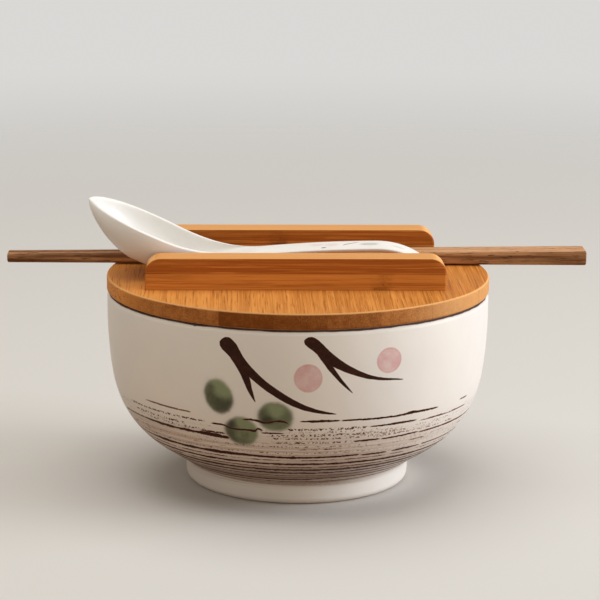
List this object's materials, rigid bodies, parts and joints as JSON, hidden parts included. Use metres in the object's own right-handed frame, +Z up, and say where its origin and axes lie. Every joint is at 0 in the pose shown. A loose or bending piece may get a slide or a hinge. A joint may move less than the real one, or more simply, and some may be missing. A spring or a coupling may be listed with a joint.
{
  "type": "donburi bowl with lid",
  "caption": "Footed ceramic bowl with a round bamboo lid, whose rails hold a ceramic soup spoon and wooden chopsticks.",
  "frame": {"origin": "middle of the ring that the bowl stands on", "axes": "+Z up; +X along the rails towards the handle ends of the chopsticks; -Y towards the front of the bowl"},
  "size_m": [0.24, 0.156, 0.1163],
  "materials": {
    "bowl_glaze": "soft satin off-white glaze with brushed brown bands and a painted twig",
    "spoon_glaze": "soft satin off-white glaze",
    "lid_bamboo": "carbonised bamboo board, oiled",
    "rail_bamboo": "carbonised bamboo, two strips glued, oiled",
    "dark_wood": "dark hardwood with fine open grain",
    "silicone": "soft milky silicone",
    "steel": "plain steel wood screws"
  },
  "bodies": {
    "bowl": {"bowl": "bowl_glaze"},
    "lid": {"lid_panel": "lid_bamboo", "lid_seal": "silicone", "front_rail": "rail_bamboo", "rear_rail": "rail_bamboo", "front_rail_screws": "steel", "rear_rail_screws": "steel"},
    "spoon": {"spoon": "spoon_glaze"},
    "front_chopstick": {"front_chopstick": "dark_wood"},
    "rear_chopstick": {"rear_chopstick": "dark_wood"}
  },
  "joints": [
    {"name": "lid_lift", "type": "slide", "parent": "bowl", "child": "lid", "axis": [0, 0, 1], "range_m": [0, 0.1]},
    {"name": "spoon_lift", "type": "slide", "parent": "lid", "child": "spoon", "axis": [0, 0, 1], "range_m": [0, 0.08]},
    {"name": "front_chopstick_draw", "type": "slide", "parent": "lid", "child": "front_chopstick", "axis": [1, -0.009, 0], "range_m": [0, 0.2]},
    {"name": "rear_chopstick_draw", "type": "slide", "parent": "lid", "child": "rear_chopstick", "axis": [1, 0, 0], "range_m": [0, 0.2]}
  ]
}
